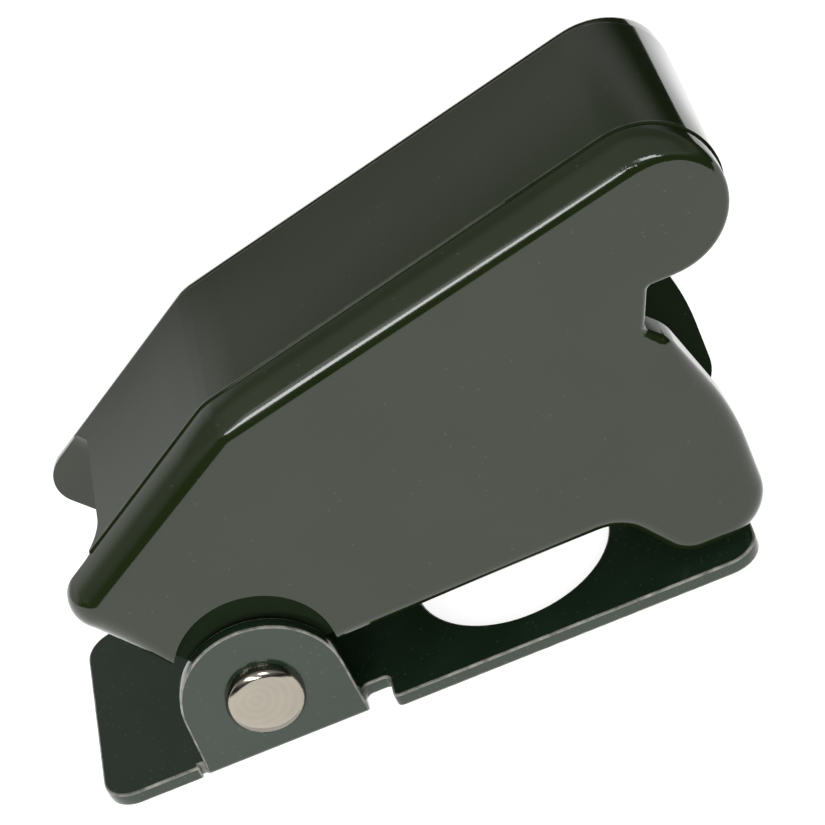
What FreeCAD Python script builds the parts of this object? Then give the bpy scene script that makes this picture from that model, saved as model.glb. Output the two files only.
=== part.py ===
import FreeCAD, Part
import math
import os

V = FreeCAD.Vector

# Toggle switch cover. Millimetres, +Z up, +X towards the nose, origin at the bush hole on the
# underside of the plate.

# Base plate
plate_t = 0.9
plate_front = 13.9
plate_rear = 27.1
plate_half = 8.65
plate_step = 0.62
plate_half_hinge = plate_half - plate_step
plate_corner_r = 2.0
bush_hole_d = 12.2

# Hinge axis
pin_back = 15.75
pin_z = 3.95

# Ears
ear_r = 4.95
ear_foot_half = 5.1
ear_bend_out = 0.35
relief_w = 1.65
relief_in = 2.1
relief_r = 0.4
nick_w = 0.35
nick_in = 0.9

# Hinge pin
pin_d = 2.4
pin_head_d = 4.7
pin_head_t = 0.55
pin_head_edge = 0.22
pin_run_gap = 0.04

# Hood side outline
hood_half = plate_half_hinge
top_rise = 13.4
back_rise = 33.5
crease_x = -11.63
crease_z = 22.66
crease_r = 3.0
nose_x = 19.45
nose_r = 4.4
notch_top_x = 13.4
notch_low_x = 12.4
notch_low_z = 17.55
notch_top_r = 0.45
notch_low_r = 0.25
lobe_x = 15.42
lobe_shoulder_out = 1.15
lobe_shoulder_drop = 1.35
lobe_shoulder_r = 2.5
lobe_bow_z = 9.6
lobe_bow_r = 16.0
lobe_toe_r = 3.0
lobe_gap = 0.7
lobe_heel_x = 9.6
lobe_heel_slope = 57.0
lobe_heel_r = 2.4
sill_z = 5.62
sill_rise = 1.0
leg_slope = 50.8
leg_end_x = -19.5
leg_end_z = 7.8
leg_tip_r = 2.05

# Hood wall, edges and openings
side_wall = 2.0
shell_wall = 1.8
edge_r = 1.9
lobe_edge_r = 1.2
lobe_fade_z = 1.6
leg_edge_r = 0.25
nose_edge_r = 0.45
crown_step = 0.12
crown_half = 6.02
cutout_x = -20.2
cutout_r = 1.9

# Hinge bosses of the hood and the pockets that clear the ears
ear_side_gap = 0.13
boss_r = 2.7
boss_in = 4.4
pocket_web = 0.45
boss_top = 7.4
pocket_x = -15.3
pocket_z = 6.3
pocket_r = 4.81

# Torsion spring
wire_d = 0.6
coil_gap = 0.25
coil_turns = 6.25
coil_pitch = 0.72
foot_len = 7.2
foot_gap = 0.02
arm_gap = 0.05
arm_rise = 4.8
wire_bend_r = 0.9


def rad(a):
    return math.radians(a)


def line_at(px, pz, deg):
    return (px, pz, math.cos(rad(deg)), math.sin(rad(deg)))


def shifted(ln, d):
    # moved to the right of its direction by d
    return (ln[0] + ln[3] * d, ln[1] - ln[2] * d, ln[2], ln[3])


def meet(a, b):
    det = a[2] * b[3] - a[3] * b[2]
    k = ((b[0] - a[0]) * b[3] - (b[1] - a[1]) * b[2]) / det
    return (a[0] + a[2] * k, a[1] + a[3] * k)


def rounded(corners, to3d):
    # closed wire through the corners (u, v, radius), each corner rounded by its radius
    n = len(corners)
    stops = []
    for i in range(n):
        ax, ay, _ = corners[i - 1]
        bx, by, r = corners[i]
        cx, cy, _ = corners[(i + 1) % n]
        ux, uy = ax - bx, ay - by
        wx, wy = cx - bx, cy - by
        lu, lw = math.hypot(ux, uy), math.hypot(wx, wy)
        ux, uy, wx, wy = ux / lu, uy / lu, wx / lw, wy / lw
        half = math.acos(max(-1.0, min(1.0, ux * wx + uy * wy))) / 2
        if r <= 0:
            stops.append(((bx, by), None, (bx, by)))
            continue
        t = r / math.tan(half)
        p = (bx + ux * t, by + uy * t)
        q = (bx + wx * t, by + wy * t)
        mx, my = ux + wx, uy + wy
        lm = math.hypot(mx, my)
        k = r / math.sin(half) - r
        stops.append((p, (bx + mx / lm * k, by + my / lm * k), q))
    edges = []
    for i in range(n):
        p, m, q = stops[i]
        if m:
            edges.append(Part.Arc(to3d(*p), to3d(*m), to3d(*q)).toShape())
        nxt = stops[(i + 1) % n][0]
        if math.hypot(nxt[0] - q[0], nxt[1] - q[1]) > 1e-5:
            edges.append(Part.makeLine(to3d(*q), to3d(*nxt)))
    return Part.Wire(Part.__sortEdges__(edges))


def side_prism(corners, y0, y1):
    wire = rounded(corners, lambda x, z: V(x, y0, z))
    return Part.Face(wire).extrude(V(0, y1 - y0, 0))


def plan_prism(corners, z0, z1):
    wire = rounded(corners, lambda x, y: V(x, y, z0))
    return Part.Face(wire).extrude(V(0, 0, z1 - z0))


def across(x, z, r, y0, y1):
    return Part.makeCylinder(r, y1 - y0, V(x, y0, z), V(0, 1, 0))


def both_sides(shape):
    return shape.fuse(shape.mirror(V(0, 0, 0), V(0, 1, 0)))


pin_x = -pin_back

# Lines of the hood's side outline
top = line_at(crease_x, crease_z, top_rise)
back = line_at(crease_x, crease_z, back_rise)
nose_front = line_at(nose_x, 0, 90)
nose_cx = nose_x - nose_r
nose_cz = crease_z + (nose_cx - crease_x) * math.tan(rad(top_rise)) - nose_r / math.cos(rad(top_rise))
nose_low = nose_cz - nose_r
leg_under = line_at(leg_end_x, leg_end_z, -leg_slope)
lobe_low = plate_t + lobe_gap
sill = line_at(lobe_heel_x, sill_z, sill_rise)
heel = line_at(lobe_heel_x, lobe_low, 180 - lobe_heel_slope)
boss_low = pin_z - boss_r


def outline(grow):
    # the hood's side outline, its back, top and nose moved outwards by grow
    t = shifted(top, -grow)
    b = shifted(back, -grow)
    f = shifted(nose_front, grow)
    crease = meet(b, t)
    brow = meet(t, f)
    heel_top = meet(heel, sill)
    boss_front = meet(sill, line_at(pin_x + boss_r, 0, 90))
    boss_rear = meet(leg_under, line_at(pin_x - boss_r, 0, 90))
    tip = meet(b, leg_under)
    return [
        (crease[0], crease[1], crease_r),
        (brow[0], brow[1], nose_r + grow),
        (nose_x + grow, nose_low - grow, nose_r + grow),
        (notch_top_x, nose_low - grow, notch_top_r),
        (notch_low_x, notch_low_z, notch_low_r),
        (notch_low_x + lobe_shoulder_out, notch_low_z - lobe_shoulder_drop, lobe_shoulder_r),
        (lobe_x, lobe_bow_z, lobe_bow_r),
        (lobe_x, lobe_low, lobe_toe_r),
        (lobe_heel_x, lobe_low, lobe_heel_r),
        (heel_top[0], heel_top[1], lobe_heel_r),
        (boss_front[0], boss_front[1], 0.8),
        (pin_x + boss_r, boss_low, boss_r - 0.001),
        (pin_x - boss_r, boss_low, boss_r - 0.001),
        (boss_rear[0], boss_rear[1], 0.6),
        (tip[0], tip[1], leg_tip_r),
    ]


def make_base():
    corners = []
    notch_rear = pin_x + ear_foot_half
    notch_front = notch_rear + relief_w
    relief_y = plate_half - relief_in
    nick_front = pin_x - ear_foot_half
    nick_rear = nick_front - nick_w
    nick_y = plate_half_hinge - nick_in
    near = [
        (-plate_rear, -plate_half_hinge, plate_corner_r),
        (nick_rear, -plate_half_hinge, 0),
        (nick_rear, -nick_y, 0),
        (nick_front, -nick_y, 0),
        (nick_front, -plate_half_hinge, 0),
        (notch_rear, -plate_half_hinge, 0),
        (notch_rear, -relief_y, relief_r),
        (notch_front, -relief_y, relief_r),
        (notch_front, -plate_half, relief_r),
        (plate_front, -plate_half, plate_corner_r),
    ]
    corners = near + [(x, -y, r) for x, y, r in reversed(near)]
    plate = plan_prism(corners, 0, plate_t)
    plate = plate.cut(Part.makeCylinder(bush_hole_d / 2, plate_t * 3, V(0, 0, -plate_t)))
    # ear: flanks lean in from the foot to the rounded top
    reach = math.hypot(ear_foot_half, pin_z)
    lean = math.atan2(ear_foot_half, pin_z) + math.acos(ear_r / reach) - math.pi / 2
    tx = ear_r * math.cos(lean)
    tz = pin_z + ear_r * math.sin(lean)
    y_out = -plate_half_hinge
    foot_l = V(pin_x - ear_foot_half, y_out, 0)
    foot_r = V(pin_x + ear_foot_half, y_out, 0)
    tan_l = V(pin_x - tx, y_out, tz)
    tan_r = V(pin_x + tx, y_out, tz)
    crest = V(pin_x, y_out, pin_z + ear_r)
    edges = [
        Part.makeLine(foot_l, foot_r),
        Part.makeLine(foot_r, tan_r),
        Part.Arc(tan_r, crest, tan_l).toShape(),
        Part.makeLine(tan_l, foot_l),
    ]
    ear = Part.Face(Part.Wire(edges)).extrude(V(0, plate_t, 0))
    base = plate.fuse([ear, ear.mirror(V(0, 0, 0), V(0, 1, 0))]).removeSplitter()
    outer, inner = [], []
    for e in base.Edges:
        a, b = e.Vertexes[0].Point, e.Vertexes[-1].Point
        along_x = abs(a.y - b.y) < 1e-6 and abs(a.z - b.z) < 1e-6
        if not along_x or abs((a.x + b.x) / 2 - pin_x) > ear_foot_half:
            continue
        if abs(abs(a.y) - plate_half_hinge) < 1e-6 and abs(a.z) < 1e-6:
            outer.append(e)
        if abs(abs(a.y) - plate_half_hinge + plate_t) < 1e-6 and abs(a.z - plate_t) < 1e-6:
            inner.append(e)
    base = base.makeFillet(ear_bend_out, outer)
    base = base.cut(across(pin_x, pin_z, pin_d / 2, -2 * plate_half, 2 * plate_half))
    return base


def eased(shape, picks):
    # edges rounded by radii that may change along an edge; picks are (edge number, start, end)
    doc = FreeCAD.newDocument()
    src = doc.addObject("Part::Feature")
    src.Shape = shape
    work = doc.addObject("Part::Fillet")
    work.Base = src
    work.Edges = picks
    doc.recompute()
    out = work.Shape.copy()
    FreeCAD.closeDocument(doc.Name)
    return out


def lobe_round(z):
    # the lobe's edge starts nearly sharp at the notch and is full where the bow begins
    share = (notch_low_z - z) / (notch_low_z - lobe_bow_z - lobe_fade_z)
    return nose_edge_r + (lobe_edge_r - nose_edge_r) * max(0.0, min(1.0, share))


def make_hood_body():
    body = side_prism(outline(0), -hood_half, hood_half)
    picks = []
    for i, e in enumerate(body.Edges):
        if e.BoundBox.YLength > 1e-6 or abs(abs(e.Vertexes[0].Point.y) - hood_half) > 1e-6:
            continue
        m = e.valueAt((e.FirstParameter + e.LastParameter) / 2)
        a, b = e.valueAt(e.FirstParameter), e.valueAt(e.LastParameter)
        r1 = r2 = 0
        if m.z > nose_cz and m.x > nose_cx:
            r1, r2 = (edge_r, nose_edge_r) if a.z > b.z else (nose_edge_r, edge_r)
        elif m.x < pin_x and e.Curve.TypeId == "Part::GeomLine" and leg_end_z < m.z < crease_z / 2:
            # the leg's underside turns sharp towards the hinge
            r1, r2 = (edge_r, leg_edge_r) if a.z > b.z else (leg_edge_r, edge_r)
        elif m.z > nose_cz or (m.x < notch_low_x and m.z > leg_end_z + 1):
            r1 = r2 = edge_r
        elif m.x > nose_cx + 1 and nose_low + 0.1 < m.z < nose_cz:
            r1 = r2 = nose_edge_r
        elif m.x > notch_low_x and lobe_bow_z + lobe_fade_z < m.z < notch_low_z:
            r1 = lobe_round(a.z)
            r2 = lobe_round(b.z)
        elif m.x > notch_low_x + 0.5 and m.z < notch_low_z - 1:
            r1 = r2 = lobe_edge_r
        elif pin_x + boss_r + 1 < m.x and m.z < sill_z + 0.5:
            r1 = r2 = lobe_edge_r
        if r1:
            picks.append((i + 1, r1, r2))
    return eased(body, picks)


def make_crown():
    # the raised middle band of the back, top and nose, inside the moulding line
    edge = outline(crown_step)
    floor = meet(shifted(top, shell_wall / 2), shifted(back, shell_wall / 2))
    inner_nose = nose_r - shell_wall / 2
    brow = meet(shifted(top, shell_wall / 2), shifted(nose_front, -shell_wall / 2))
    behind = line_at(cutout_x - 1, 0, 90)
    rear_low = meet(shifted(back, shell_wall / 2), behind)
    rear_high = meet(shifted(back, -crown_step), behind)
    corners = [
        edge[0],
        edge[1],
        edge[2],
        (nose_cx, nose_low - crown_step, 0),
        (nose_cx, nose_low + shell_wall / 2, 0),
        (nose_x - shell_wall / 2, nose_low + shell_wall / 2, inner_nose),
        (brow[0], brow[1], inner_nose),
        (floor[0], floor[1], crease_r),
        (rear_low[0], rear_low[1], 0),
        (rear_high[0], rear_high[1], 0),
    ]
    return side_prism(corners, -crown_half, crown_half)


def make_hood():
    inner_half = hood_half - side_wall
    body = make_hood_body().fuse(make_crown())
    # hollow, open underneath and at the front
    roof = shifted(top, shell_wall)
    rear = shifted(back, shell_wall)
    face = shifted(nose_front, -shell_wall)
    ridge = meet(roof, rear)
    inner_brow = meet(roof, face)
    deep = -plate_rear
    rear_end = meet(rear, line_at(deep, 0, 90))
    hollow = side_prism([
        (ridge[0], ridge[1], crease_r - shell_wall / 2),
        (inner_brow[0], inner_brow[1], nose_r - shell_wall),
        (nose_x - shell_wall, -plate_t, 0),
        (deep, -plate_t, 0),
        (rear_end[0], rear_end[1], 0),
    ], -inner_half, inner_half)
    body = body.cut(hollow)
    # cut-out between the rear legs, its inner corners rounded
    slope = V(math.cos(rad(back_rise)), 0, math.sin(rad(back_rise)))
    out = V(-slope.z, 0, slope.x)
    edge_at = V(cutout_x, 0, crease_z + (cutout_x - crease_x) * math.tan(rad(back_rise)))
    reach = 4 * leg_tip_r

    def on_back(u, y):
        p = edge_at + slope * u + out * leg_tip_r
        return V(p.x, y, p.z)

    slot = Part.Face(rounded([
        (0, -inner_half, cutout_r),
        (0, inner_half, cutout_r),
        (-reach, inner_half, 0),
        (-reach, -inner_half, 0),
    ], on_back)).extrude(out * (-3 * leg_tip_r))
    body = body.cut(slot)
    # hinge lugs down the inner sides of the walls
    lug = side_prism([
        (pin_x + boss_r, boss_low, boss_r - 0.001),
        (pin_x + boss_r, pin_z + boss_top + boss_r, boss_r - 0.001),
        (pin_x - boss_r, pin_z + boss_top + boss_r, boss_r - 0.001),
        (pin_x - boss_r, boss_low, boss_r - 0.001),
    ], -inner_half - side_wall / 4, -boss_in)
    body = body.fuse(both_sides(lug))
    # pockets through the walls round the ears, then the hubs that run against the ears
    pocket_floor = inner_half + pocket_web
    pocket = across(pocket_x, pocket_z, pocket_r, -2 * hood_half, -pocket_floor)
    below = Part.makeBox(2 * pocket_r, 2 * hood_half - pocket_floor, 2 * pocket_z,
                         V(pocket_x - pocket_r, -2 * hood_half, -pocket_z))
    body = body.cut(both_sides(pocket.fuse(below)))
    hub_out = hood_half - plate_t - ear_side_gap
    hub = across(pin_x, pin_z, boss_r, -hub_out, -boss_in)
    body = body.fuse(both_sides(hub))
    bore = pin_d / 2 + pin_run_gap
    body = body.cut(across(pin_x, pin_z, bore, -hood_half, hood_half))
    return body.removeSplitter()


def make_pin():
    head_y = plate_half_hinge + pin_head_t
    head = across(pin_x, pin_z, pin_head_d / 2, -head_y, -plate_half_hinge)
    rim = [e for e in head.Edges if e.BoundBox.YLength < 1e-6 and abs(e.BoundBox.YMin + head_y) < 1e-6]
    head = head.makeFillet(pin_head_edge, rim)
    shank = across(pin_x, pin_z, pin_d / 2, -plate_half_hinge, plate_half_hinge)
    return shank.fuse([head, head.mirror(V(0, 0, 0), V(0, 1, 0))]).removeSplitter()


def bent_wire(points):
    # round wire through the points, its inner corners bent to wire_bend_r
    edges = []
    last = points[0]
    for i in range(1, len(points) - 1):
        p = points[i]
        back_way = (points[i - 1] - p).normalize()
        on_way = (points[i + 1] - p).normalize()
        half = back_way.getAngle(on_way) / 2
        t = wire_bend_r / math.tan(half)
        k = wire_bend_r / math.sin(half) - wire_bend_r
        mid = p + (back_way + on_way).normalize() * k
        edges.append(Part.makeLine(last, p + back_way * t))
        edges.append(Part.Arc(p + back_way * t, mid, p + on_way * t).toShape())
        last = p + on_way * t
    edges.append(Part.makeLine(last, points[-1]))
    disc = Part.Wire(Part.makeCircle(wire_d / 2, points[0], points[1] - points[0]))
    return Part.Wire(edges).makePipeShell([disc], True, True)


def make_spring():
    # coil round the pin; the foot lies forward on the plate, the arm hooks behind one hinge boss
    r = pin_d / 2 + coil_gap + wire_d / 2
    length = coil_turns * coil_pitch
    helix = Part.makeHelix(coil_pitch, length, r)
    helix.Placement = FreeCAD.Placement(V(pin_x, length / 2, pin_z), FreeCAD.Rotation(V(1, 0, 0), 90))
    track = helix.Edges[0]
    start = track.valueAt(track.FirstParameter)
    rising = track.tangentAt(track.FirstParameter)
    end = track.valueAt(track.LastParameter)
    leaving = track.tangentAt(track.LastParameter)
    disc = Part.Wire(Part.makeCircle(wire_d / 2, start, rising))
    coil = Part.Wire(track).makePipeShell([disc], True, True)
    knee = start - rising * ((start.z - plate_t - foot_gap - wire_d / 2) / rising.z)
    foot = bent_wire([start, knee, knee + V(foot_len, 0, 0)])
    behind_x = pin_x - boss_r - arm_gap - wire_d / 2
    elbow = end + leaving * ((behind_x - end.x) / leaving.x)
    shoulder = V(behind_x, elbow.y, pin_z + arm_rise)
    arm = bent_wire([end, elbow, shoulder, V(behind_x, arm_gap + side_wall - hood_half, shoulder.z)])
    return coil.fuse([foot, arm]).removeSplitter()


os.makedirs("parts", exist_ok=True)
made = {
    "base_plate": make_base(),
    "cover": make_hood(),
    "hinge_pin": make_pin(),
    "torsion_spring": make_spring(),
}
for name, shape in made.items():
    shape.Solids[0].exportStep("parts/" + name + ".step")
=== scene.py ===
import math

import bmesh
import bpy
from mathutils import Matrix, Quaternion, Vector


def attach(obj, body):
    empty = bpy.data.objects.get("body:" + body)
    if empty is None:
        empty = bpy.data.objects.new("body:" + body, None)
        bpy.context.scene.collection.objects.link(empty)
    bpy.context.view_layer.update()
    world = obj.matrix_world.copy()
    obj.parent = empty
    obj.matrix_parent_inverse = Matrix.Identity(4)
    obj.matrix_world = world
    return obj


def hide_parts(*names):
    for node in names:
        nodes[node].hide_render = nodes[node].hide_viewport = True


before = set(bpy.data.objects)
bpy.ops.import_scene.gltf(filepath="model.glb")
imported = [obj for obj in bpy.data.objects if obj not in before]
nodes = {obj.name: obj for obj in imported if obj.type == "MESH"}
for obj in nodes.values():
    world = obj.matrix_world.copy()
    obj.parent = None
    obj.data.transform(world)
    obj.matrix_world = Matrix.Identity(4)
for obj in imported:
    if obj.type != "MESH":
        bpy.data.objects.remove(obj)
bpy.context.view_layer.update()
bpy.context.scene.view_settings.view_transform = "Standard"
MM = 0.001
MICRON = 0.000001

# Places on the object, in millimetres
PIN = (-15.75, 3.95)        # x and z of the pin's axis
POCKET = (-15.3, 6.3)       # x and z of the middle of the round recess in the hood's side
POCKET_R = 4.81
WALL_OUT = 8.03             # half the hood's width
PARTING_Y = (5.86, 6.05)    # the moulding line beside the crown
LOBES_X = 8.0               # the two front lobes lie beyond this x
LOBES_Y = 6.3               # and their inner faces within this distance of the middle
NICK_X = (-21.3, -20.75)    # the nick behind each ear
NICK_Y = (7.0, 7.3)
NICK_SHIFT = 0.58

# How the meshes are cleaned, in millimetres and degrees
MERGE = 0.0008
FLAT = 0.05
SHARP = 32
SMOOTH = 28

# Camera: the place and turn that the plate, the hole and the hood's edges have in the photograph
CAMERA_AT = (12.2233, -161.0982, 120.7091)
CAMERA_RIGHT = (0.92451711, -0.15283808, -0.34915417)
CAMERA_DOWN = (-0.37422138, -0.53776349, -0.75549242)
CAMERA_AHEAD = (-0.07229436, 0.82912662, -0.55436682)
FOCAL_PIXELS = 3354.99
PHOTO_PIXELS = 825.0
SENSOR = 36.0

# Studio, in metres
LAMP_AIM = (0, 0, 0.012)
FLOOR_SIZE = (0.60, 0.366, 1.0)
FLOOR_MIDDLE = (0.0, 0.117, -0.05 * MM)
WINDOW_WAY = (-0.8865, 0.4134, 0.2079)
FRONT_WAY = (0.0, -0.64, 0.77)


class Tree:
    """A node tree, emptied, with short ways to fill it."""

    def __init__(self, tree):
        tree.nodes.clear()
        self.tree = tree

    def add(self, kind, label=None, sockets=None, **values):
        node = self.tree.nodes.new(kind)
        if label:
            node.label = label
        for key, value in values.items():
            setattr(node, key, value)
        for key, value in (sockets or {}).items():
            node.inputs[key].default_value = value
        return node

    def join(self, a, b):
        self.tree.links.new(a, b)

    def feed(self, value, socket):
        # a number or a colour is set on the socket, and an output is joined to it
        if isinstance(value, bpy.types.NodeSocket):
            self.join(value, socket)
        elif isinstance(value, tuple):
            socket.default_value = (*value, 1)
        else:
            socket.default_value = value

    def calc(self, operation, *terms, label=None, clamp=False):
        node = self.add("ShaderNodeMath", label, operation=operation, use_clamp=clamp)
        for value, socket in zip(terms, node.inputs):
            self.feed(value, socket)
        return node.outputs[0]

    def ranged(self, value, label, low, high, to_low=0.0, to_high=1.0, kind="LINEAR"):
        node = self.add("ShaderNodeMapRange", label, interpolation_type=kind)
        keys = ("Value", "From Min", "From Max", "To Min", "To Max")
        for key, term in zip(keys, (value, low, high, to_low, to_high)):
            self.feed(term, node.inputs[key])
        return node.outputs["Result"]

    def split(self, vector):
        node = self.add("ShaderNodeSeparateXYZ")
        self.join(vector, node.inputs[0])
        return node.outputs[0], node.outputs[1], node.outputs[2]

    def spot(self):
        # the point on the object, in metres
        return self.add("ShaderNodeTexCoord").outputs["Object"]

    def spot_mm(self):
        to_mm = self.add("ShaderNodeVectorMath", "to millimetres", {"Scale": 1000.0}, operation="SCALE")
        self.join(self.spot(), to_mm.inputs[0])
        return self.split(to_mm.outputs["Vector"])

    def texture(self, kind, label, scale, **sockets):
        node = self.add(kind, label, sockets)
        self.join(self.spot(), node.inputs["Vector"])
        self.feed(scale, node.inputs["Scale"])
        return node

    def place(self, group, **values):
        node = self.add("ShaderNodeGroup", group.name, node_tree=group)
        for key, value in values.items():
            self.feed(value, node.inputs[key.replace("_", " ")])
        return node.outputs

    def blend(self, mask, a, b):
        # colour a where the mask is 0, b where it is 1
        mix = self.add("ShaderNodeMix", data_type="RGBA")
        for value, key in ((mask, "Factor"), (a, 6), (b, 7)):
            self.feed(value, mix.inputs[key])
        return mix.outputs[2]

    def between(self, mask, a, b, label=None):
        # number a where the mask is 0, b where it is 1
        mix = self.add("ShaderNodeMix", label, data_type="FLOAT")
        for value, key in ((mask, "Factor"), (a, 2), (b, 3)):
            self.feed(value, mix.inputs[key])
        return mix.outputs[0]

    def bump(self, height, distance, surface):
        node = self.add("ShaderNodeBump", None, {"Distance": distance, "Strength": 1.0})
        self.join(height, node.inputs["Height"])
        self.join(node.outputs["Normal"], surface.inputs["Normal"])


def place_camera():
    right, down, ahead = Vector(CAMERA_RIGHT), Vector(CAMERA_DOWN), Vector(CAMERA_AHEAD)
    turn = Matrix((right, -down, -ahead)).transposed().to_4x4()
    lens = bpy.data.cameras.new("photo_camera")
    lens.sensor_width = SENSOR
    lens.lens = FOCAL_PIXELS * SENSOR / PHOTO_PIXELS
    lens.clip_start = 0.01
    lens.clip_end = 10.0
    camera = bpy.data.objects.new("photo_camera", lens)
    bpy.context.scene.collection.objects.link(camera)
    camera.matrix_world = Matrix.Translation(Vector(CAMERA_AT) * MM) @ turn
    bpy.context.scene.camera = camera


def panel_light(name, azimuth, elevation, distance, width, height, watts, roll=0.0):
    # azimuth 0 stands in front of the object, positive towards +X
    a, e = math.radians(azimuth), math.radians(elevation)
    at = Vector((math.sin(a) * math.cos(e), -math.cos(a) * math.cos(e), math.sin(e))) * distance
    lamp = bpy.data.lights.new(name, "AREA")
    lamp.shape = "RECTANGLE"
    lamp.size = width
    lamp.size_y = height
    lamp.energy = watts
    holder = bpy.data.objects.new(name, lamp)
    holder.location = at + Vector(LAMP_AIM)
    turn = (-at).to_track_quat("-Z", "Y") @ Quaternion((0, 0, 1), math.radians(roll))
    holder.rotation_euler = turn.to_euler()
    bpy.context.scene.collection.objects.link(holder)


def studio_world():
    # a dim room that brightens upwards, with a broad window behind the object's left side
    world = bpy.data.worlds.new("studio")
    bpy.context.scene.world = world
    world.use_nodes = True
    tree = Tree(world.node_tree)
    out = tree.add("ShaderNodeOutputWorld")
    room = tree.add("ShaderNodeBackground", "room")
    backdrop = tree.add("ShaderNodeBackground", "white backdrop", {"Color": (1, 1, 1, 1)})
    path = tree.add("ShaderNodeLightPath")
    pick = tree.add("ShaderNodeMixShader")
    where = tree.add("ShaderNodeTexCoord").outputs["Generated"]

    def soft(value, label, low, high, to_low, to_high):
        return tree.ranged(value, label, low, high, to_low, to_high, "SMOOTHSTEP")

    def towards(label, way):
        facing = tree.add("ShaderNodeVectorMath", label, {1: way}, operation="DOT_PRODUCT")
        tree.join(where, facing.inputs[0])
        return facing.outputs["Value"]

    height = tree.split(where)[2]
    ceiling = tree.calc("SUBTRACT", soft(height, "ceiling glow", 0.12, 0.50, 0.02, 0.42),
                        soft(height, "dimmer overhead", 0.42, 0.56, 0.0, 0.15))
    window = soft(towards("towards window", WINDOW_WAY), "window", 0.70, 0.95, 0.0, 0.85)
    front = soft(towards("up and in front", FRONT_WAY), "front glow", 0.55, 0.90, 0.0, 0.30)
    tree.join(tree.calc("ADD", tree.calc("ADD", ceiling, window), front), room.inputs["Color"])
    tree.join(path.outputs["Is Camera Ray"], pick.inputs["Fac"])
    tree.join(room.outputs[0], pick.inputs[1])
    tree.join(backdrop.outputs[0], pick.inputs[2])
    tree.join(pick.outputs[0], out.inputs["Surface"])


def lay_floor():
    bpy.ops.object.select_all(action="DESELECT")
    bpy.ops.mesh.primitive_plane_add(size=1.0, location=(0, 0, 0))
    floor = bpy.context.object
    bpy.ops.transform.resize(value=FLOOR_SIZE)
    bpy.ops.transform.translate(value=FLOOR_MIDDLE)
    bpy.ops.object.transform_apply(location=True, rotation=False, scale=True)
    floor.name = "floor"
    skin = bpy.data.materials.new("pale_floor")
    skin.use_nodes = True
    tree = Tree(skin.node_tree)
    out = tree.add("ShaderNodeOutputMaterial")
    paint = tree.add("ShaderNodeBsdfDiffuse", None, {"Color": (0.62, 0.62, 0.62, 1)})
    glow = tree.add("ShaderNodeEmission", None, {"Color": (1, 1, 1, 1)})
    path = tree.add("ShaderNodeLightPath")
    both = tree.add("ShaderNodeAddShader")
    seen = tree.calc("MULTIPLY", path.outputs["Is Camera Ray"], 0.86, label="white to the camera")
    through = tree.calc("MAXIMUM", path.outputs["Is Glossy Ray"], path.outputs["Is Transmission Ray"])
    mirrored = tree.calc("MULTIPLY", through, 1.31, label="white in reflections")
    tree.join(tree.calc("ADD", seen, mirrored), glow.inputs["Strength"])
    tree.join(paint.outputs[0], both.inputs[0])
    tree.join(glow.outputs[0], both.inputs[1])
    tree.join(both.outputs[0], out.inputs["Surface"])
    floor.data.materials.append(skin)


# Shared surface effects
def effect(name, ins, outs):
    group = bpy.data.node_groups.new(name, "ShaderNodeTree")
    for label, value in ins:
        socket = group.interface.new_socket(label, in_out="INPUT", socket_type="NodeSocketFloat")
        socket.default_value = value
    for label in outs:
        group.interface.new_socket(label, in_out="OUTPUT", socket_type="NodeSocketFloat")
    tree = Tree(group)
    return group, tree, tree.add("NodeGroupInput").outputs, tree.add("NodeGroupOutput").inputs


def make_grain():
    # fine skin of a moulding or of paint: a height and a tone that vary together
    group, tree, given, result = effect(
        "skin_grain", [("Scale", 4000.0), ("Depth", 1.0), ("Spread", 1.0)], ["Height", "Tone"])
    coarser = 22.0
    fine = tree.texture("ShaderNodeTexNoise", "fine grain", given["Scale"], Detail=3.0, Roughness=0.6)
    broad_scale = tree.calc("DIVIDE", given["Scale"], coarser)
    broad = tree.texture("ShaderNodeTexNoise", "broad mottle", broad_scale, Detail=2.0)
    tree.join(tree.calc("MULTIPLY", fine.outputs["Fac"], given["Depth"]), result["Height"])
    tone = tree.ranged(broad.outputs["Fac"], "mottle", 0.3, 0.7, 0.0, given["Spread"])
    tree.join(tone, result["Tone"])
    return group


def make_specks():
    # scattered dust specks and pin-prick marks
    group, tree, given, result = effect(
        "stray_specks", [("Scale", 2500.0), ("Size", 0.18), ("Share", 0.2)], ["Mask"])
    cells = tree.texture("ShaderNodeTexVoronoi", "speck cells", given["Scale"])
    lot = tree.add("ShaderNodeSeparateColor")
    tree.join(cells.outputs["Color"], lot.inputs[0])
    inside = tree.calc("LESS_THAN", cells.outputs["Distance"], given["Size"])
    chosen = tree.calc("LESS_THAN", lot.outputs[0], given["Share"])
    tree.join(tree.calc("MULTIPLY", inside, chosen), result["Mask"])
    return group


def make_wear_and_glint_edges():
    # an edge mask broken up into patches by noise: rubbed wear on the plate's edges, a painted highlight
    # along the hood's moulding line
    group, tree, given, result = effect(
        "edge_wear_and_glint", [("Edge", 0.0), ("Patch Scale", 900.0), ("Cover", 0.5)], ["Mask"])
    full_at = 0.72
    patches = tree.texture("ShaderNodeTexNoise", "wear and glint patches", given["Patch Scale"], Detail=4.0)
    low = tree.calc("SUBTRACT", 0.75, given["Cover"])
    patched = tree.ranged(patches.outputs["Fac"], "patch", low, full_at)
    tree.join(tree.calc("MULTIPLY", given["Edge"], patched), result["Mask"])
    return group


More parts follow.
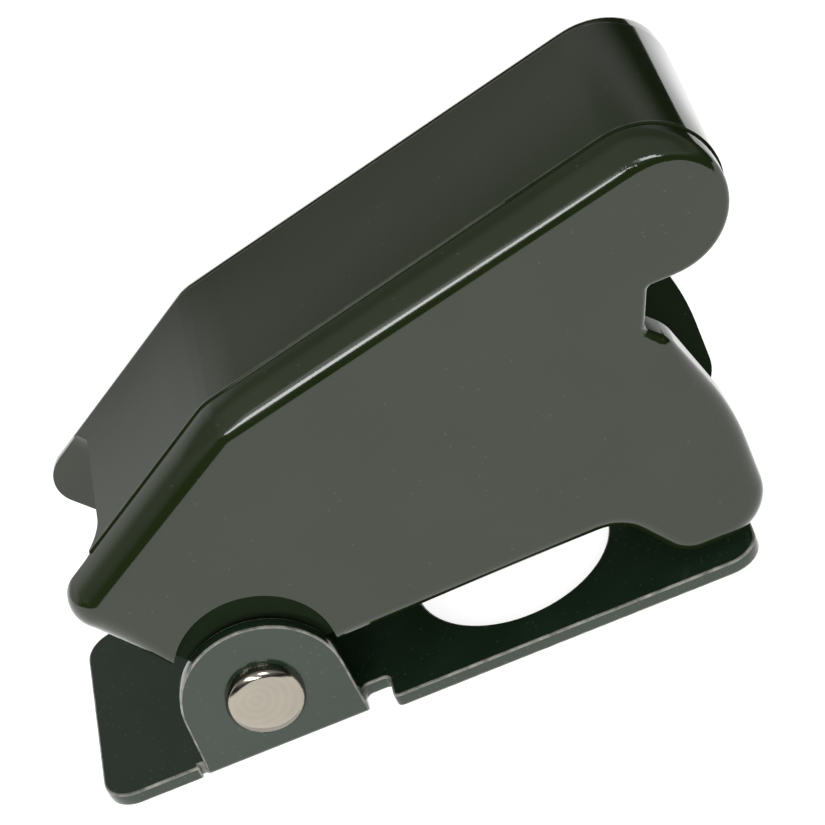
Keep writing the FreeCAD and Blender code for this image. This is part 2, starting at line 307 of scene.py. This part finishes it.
def make_round_zone():
    # 1 inside a cylinder along Y, given in millimetres, fading over its edge, and only below a set |Y|
    group, tree, given, result = effect(
        "round_zone",
        [("Centre X", 0.0), ("Centre Z", 0.0), ("Radius", 1.0), ("Fade", 0.1), ("Outer Y", 10.0)],
        ["Mask", "Reach"])
    x, y, z = tree.spot_mm()
    flat = tree.add("ShaderNodeCombineXYZ")
    tree.join(tree.calc("SUBTRACT", x, given["Centre X"]), flat.inputs["X"])
    tree.join(tree.calc("SUBTRACT", z, given["Centre Z"]), flat.inputs["Z"])
    length = tree.add("ShaderNodeVectorMath", operation="LENGTH")
    tree.join(flat.outputs[0], length.inputs[0])
    reach = length.outputs["Value"]
    low = tree.calc("SUBTRACT", given["Radius"], given["Fade"])
    zone = tree.ranged(reach, "inside the circle", low, given["Radius"], 1.0, 0.0)
    inner = tree.calc("LESS_THAN", tree.calc("ABSOLUTE", y), given["Outer Y"])
    tree.join(tree.calc("MULTIPLY", zone, inner), result["Mask"])
    tree.join(reach, result["Reach"])
    return group


def make_soft_form():
    # height of the slight crown across the top and of the eased crease between top and rear slope;
    # the crown falls by so many microns for each square millimetre off the middle
    group, tree, given, result = effect(
        "soft_form",
        [("Crown", 3.6), ("Crease X", -11.63), ("Crease Width", 2.0), ("Crease Slope", 0.14)],
        ["Height", "Parting", "Sideways"])
    blunt, blunt_root = 0.12, 0.346
    calc = tree.calc
    x, y, _ = tree.spot_mm()
    normal = tree.add("ShaderNodeTexCoord").outputs["Normal"]
    _, lean_y, lean_z = tree.split(normal)
    up = tree.ranged(lean_z, "facing up", 0.30, 0.70, kind="SMOOTHSTEP")
    crown = calc("MULTIPLY", calc("MULTIPLY", calc("MULTIPLY", y, y), given["Crown"]), -MICRON)
    off = calc("SUBTRACT", x, given["Crease X"])
    away = calc("SUBTRACT", calc("SQRT", calc("ADD", calc("MULTIPLY", off, off), blunt)), blunt_root)
    part = calc("SUBTRACT", 1.0, calc("DIVIDE", away, given["Crease Width"], clamp=True))
    bend = calc("SUBTRACT", 1.0, calc("MULTIPLY", part, part))
    reach = calc("MULTIPLY", given["Crease Width"], calc("MULTIPLY", given["Crease Slope"], 0.5 * MM))
    height = calc("ADD", crown, calc("MULTIPLY", bend, reach))
    tree.join(calc("MULTIPLY", height, up), result["Height"])
    side = calc("ABSOLUTE", y)
    band = calc("MULTIPLY", calc("GREATER_THAN", side, PARTING_Y[0]), calc("LESS_THAN", side, PARTING_Y[1]))
    tree.join(calc("MULTIPLY", band, up), result["Parting"])
    tree.join(calc("ABSOLUTE", lean_y), result["Sideways"])
    return group


# Materials
def start_material(name):
    skin = bpy.data.materials.new(name)
    skin.use_nodes = True
    tree = Tree(skin.node_tree)
    out = tree.add("ShaderNodeOutputMaterial")
    surface = tree.add("ShaderNodeBsdfPrincipled")
    tree.join(surface.outputs[0], out.inputs["Surface"])
    return skin, tree, surface


def within_lobes(tree, sideways):
    # the inner faces of the two front lobes, which only see each other and are given painted shade on the
    # hood
    steep = 0.7
    x, y, _ = tree.split(tree.spot())
    forward = tree.calc("GREATER_THAN", x, LOBES_X * MM)
    inward = tree.calc("LESS_THAN", tree.calc("ABSOLUTE", y), LOBES_Y * MM)
    upright = tree.calc("GREATER_THAN", sideways, steep)
    return tree.calc("MULTIPLY", tree.calc("MULTIPLY", forward, inward), upright)


def hood_moulding(grain, specks, wear_and_glint, round_zone, soft_form):
    skin, tree, surface = start_material("hood_moulding")
    surface.inputs["IOR"].default_value = 1.50
    grain_depth = 0.0009 * MM
    skin_grain = tree.place(grain, Scale=3600.0, Depth=1.0, Spread=1.0)
    dust = tree.place(specks, Scale=2600.0, Size=0.20, Share=0.045)
    recess = tree.place(round_zone, Centre_X=POCKET[0], Centre_Z=POCKET[1], Radius=POCKET_R + 0.06,
                        Fade=0.05, Outer_Y=WALL_OUT - 0.12)
    form = tree.place(soft_form)
    # painted highlight: a light grey line along the moulding line beside the crown, broken into patches,
    # stands in for the light caught on that edge
    wear_and_glint_mask = tree.place(wear_and_glint, Edge=form["Parting"], Patch_Scale=1500.0, Cover=0.55)
    inside = within_lobes(tree, form["Sideways"])
    # painted shade: the recess round each ear and the inner faces of the lobes get a dark, dull, matt
    # finish that stands in for the shade there
    painted_shade_zone = tree.calc("MAXIMUM", recess["Mask"], inside, label="painted shade zone: recess and lobes' insides")
    body = tree.blend(skin_grain["Tone"], (0.0140, 0.0235, 0.0060), (0.0180, 0.0280, 0.0085))
    # painted highlight colour on the moulding line
    with_painted_highlight = tree.blend(wear_and_glint_mask["Mask"], body, (0.085, 0.090, 0.068))
    # painted shade in the recess and between the lobes: a slightly different dark base colour
    shaded = tree.blend(painted_shade_zone, with_painted_highlight, (0.0140, 0.0250, 0.0105))
    tree.join(tree.blend(dust["Mask"], shaded, (0.040, 0.050, 0.038)), surface.inputs["Base Color"])
    # painted shade: little shine and a matt finish in the recess and between the lobes
    shine = tree.between(painted_shade_zone, 0.5, 0.12, "painted shade: less shine in the recess")
    tree.join(shine, surface.inputs["Specular IOR Level"])
    gloss = tree.between(skin_grain["Tone"], 0.085, 0.115)
    tree.join(tree.between(painted_shade_zone, gloss, 0.85, "painted shade: matt recess"), surface.inputs["Roughness"])
    relief = tree.calc("MULTIPLY_ADD", skin_grain["Height"], grain_depth, form["Height"],
                       label="grain on the form")
    tree.bump(relief, 1.0, surface)
    return skin


def plate_paint(grain, specks, wear_and_glint):
    skin, tree, surface = start_material("plate_paint")
    surface.inputs["IOR"].default_value = 1.53
    skin_grain = tree.place(grain, Scale=5200.0, Depth=1.0, Spread=1.0)
    fleck = tree.place(specks, Scale=2600.0, Size=0.24, Share=0.30)
    broken_edge = tree.add("ShaderNodeAttribute", attribute_name="edge").outputs["Fac"]
    wear_and_glint_mask = tree.place(wear_and_glint, Edge=broken_edge, Patch_Scale=1400.0, Cover=0.54)
    body = tree.blend(skin_grain["Tone"], (0.0140, 0.0300, 0.0150), (0.0190, 0.0365, 0.0205))
    flecked = tree.blend(fleck["Mask"], body, (0.0310, 0.0570, 0.0370))
    tree.join(tree.blend(wear_and_glint_mask["Mask"], flecked, (0.46, 0.45, 0.40)), surface.inputs["Base Color"])
    tree.join(tree.between(skin_grain["Tone"], 0.14, 0.20), surface.inputs["Roughness"])
    tree.bump(skin_grain["Height"], 0.002 * MM, surface)
    return skin


def pin_nickel(grain, round_zone):
    # the heads' turned rings run round a point a little off the pin's axis
    skin, tree, surface = start_material("pin_nickel")
    surface.inputs["Metallic"].default_value = 1.0
    off_axis = (-0.5, 0.35)
    ring_turns, ring_waver, ring_tone = 13.0, 2.2, 0.11
    dome_from, dome_fall = 1.45, 0.5 * MM
    skin_grain = tree.place(grain, Scale=5200.0, Depth=0.6, Spread=1.0)
    face = tree.place(round_zone, Centre_X=PIN[0], Centre_Z=PIN[1], Radius=3.0, Fade=0.1, Outer_Y=20.0)
    marks = tree.place(round_zone, Centre_X=PIN[0] + off_axis[0], Centre_Z=PIN[1] + off_axis[1],
                       Radius=3.0, Fade=0.1, Outer_Y=20.0)
    rings = tree.calc("MULTIPLY", marks["Reach"], ring_turns)
    wave = tree.calc("SINE", tree.calc("MULTIPLY_ADD", skin_grain["Tone"], ring_waver, rings))
    swirl = tree.calc("MULTIPLY_ADD", wave, ring_tone, skin_grain["Tone"])
    tree.join(tree.blend(swirl, (0.268, 0.244, 0.202), (0.322, 0.294, 0.245)), surface.inputs["Base Color"])
    tree.join(tree.between(skin_grain["Tone"], 0.10, 0.17), surface.inputs["Roughness"])
    past = tree.calc("MAXIMUM", tree.calc("SUBTRACT", face["Reach"], dome_from), 0.0)
    dome = tree.calc("MULTIPLY", tree.calc("MULTIPLY", past, past), -dome_fall)
    ripple = tree.calc("MULTIPLY", wave, MICRON)
    fine = tree.calc("MULTIPLY", skin_grain["Height"], 1.6 * MICRON)
    tree.bump(tree.calc("ADD", tree.calc("ADD", dome, ripple), fine), 1.0, surface)
    return skin


def spring_wire(grain):
    skin, tree, surface = start_material("spring_wire")
    surface.inputs["Metallic"].default_value = 1.0
    skin_grain = tree.place(grain, Scale=6000.0, Depth=1.0, Spread=1.0)
    steel = tree.blend(skin_grain["Tone"], (0.34, 0.33, 0.31), (0.48, 0.47, 0.44))
    tree.join(steel, surface.inputs["Base Color"])
    tree.join(tree.between(skin_grain["Tone"], 0.24, 0.36), surface.inputs["Roughness"])
    tree.bump(skin_grain["Height"], 0.002 * MM, surface)
    return skin


# Pieces
def only(piece):
    bpy.ops.object.select_all(action="DESELECT")
    piece.select_set(True)
    bpy.context.view_layer.objects.active = piece


def coat(piece, skin):
    piece.data.materials.clear()
    piece.data.materials.append(skin)


def shallow_nick(piece):
    # the nick behind each ear is drawn nearly shut by the bend
    for way in (-1, 1):
        bpy.ops.mesh.select_all(action="DESELECT")
        shape = bmesh.from_edit_mesh(piece.data)
        for v in shape.verts:
            x, y = v.co.x / MM, v.co.y * way / MM
            v.select = NICK_X[0] < x < NICK_X[1] and NICK_Y[0] < y < NICK_Y[1]
        shape.select_flush_mode()
        bmesh.update_edit_mesh(piece.data)
        bpy.ops.transform.translate(value=(0, way * NICK_SHIFT * MM, 0))


def dressed(node_name, piece_name, edge, steps=2, change=None):
    # the solid again, with its sharp edges broken as a mould or a press leaves them
    only(nodes[node_name])
    bpy.ops.object.duplicate()
    piece = bpy.context.object
    piece.name = piece_name
    piece.data.name = piece_name
    piece.parent = None
    for key in list(piece.keys()):
        del piece[key]
    piece.matrix_world = Matrix.Identity(4)
    bpy.ops.mesh.customdata_custom_splitnormals_clear()
    bpy.ops.object.mode_set(mode="EDIT")
    bpy.ops.mesh.select_mode(type="EDGE")
    bpy.ops.mesh.select_all(action="SELECT")
    bpy.ops.mesh.remove_doubles(threshold=MERGE * MM)
    bpy.ops.mesh.dissolve_limited(angle_limit=math.radians(FLAT))
    if change:
        bpy.ops.mesh.select_mode(type="VERT")
        change(piece)
        bpy.ops.mesh.select_mode(type="EDGE")
    bpy.ops.mesh.select_all(action="DESELECT")
    if edge:
        bpy.ops.mesh.edges_select_sharp(sharpness=math.radians(SHARP))
        bpy.ops.mesh.bevel(offset=edge * MM, segments=steps, affect="EDGES", clamp_overlap=False)
    bpy.ops.object.mode_set(mode="OBJECT")
    rim = piece.data.attributes.new("edge", "FLOAT", "FACE")
    for face in piece.data.polygons:
        rim.data[face.index].value = 1.0 if edge and face.select else 0.0
    bpy.ops.object.shade_smooth_by_angle(angle=math.radians(SMOOTH))
    bpy.ops.object.modifier_add(type="WEIGHTED_NORMAL")
    piece.modifiers[-1].keep_sharp = True
    piece.modifiers[-1].weight = 50
    bpy.ops.object.modifier_apply(modifier=piece.modifiers[-1].name)
    return piece


place_camera()
panel_light("front_strip", azimuth=-14.5, elevation=14.5, distance=0.60, width=0.33, height=0.070,
            watts=1.00, roll=-48)
panel_light("front_glow", azimuth=-19, elevation=26, distance=0.60, width=0.30, height=0.08,
            watts=0.13, roll=-48)
panel_light("small_kicker", azimuth=8, elevation=25, distance=0.60, width=0.14, height=0.15, watts=0.75)
studio_world()
lay_floor()

grain = make_grain()
specks = make_specks()
wear_and_glint = make_wear_and_glint_edges()
round_zone = make_round_zone()

hood = dressed("cover", "hood_shell", edge=0.0)
coat(hood, hood_moulding(grain, specks, wear_and_glint, round_zone, make_soft_form()))
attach(hood, "hood")
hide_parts("cover")

plate = dressed("base_plate", "plate_with_ears", edge=0.13, steps=3, change=shallow_nick)
coat(plate, plate_paint(grain, specks, wear_and_glint))
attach(plate, "base")
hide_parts("base_plate")

pin = dressed("hinge_pin", "pin_with_heads", edge=0.05)
coat(pin, pin_nickel(grain, round_zone))
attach(pin, "base")
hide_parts("hinge_pin")

coat(nodes["torsion_spring"], spring_wire(grain))

bpy.context.view_layer.update()
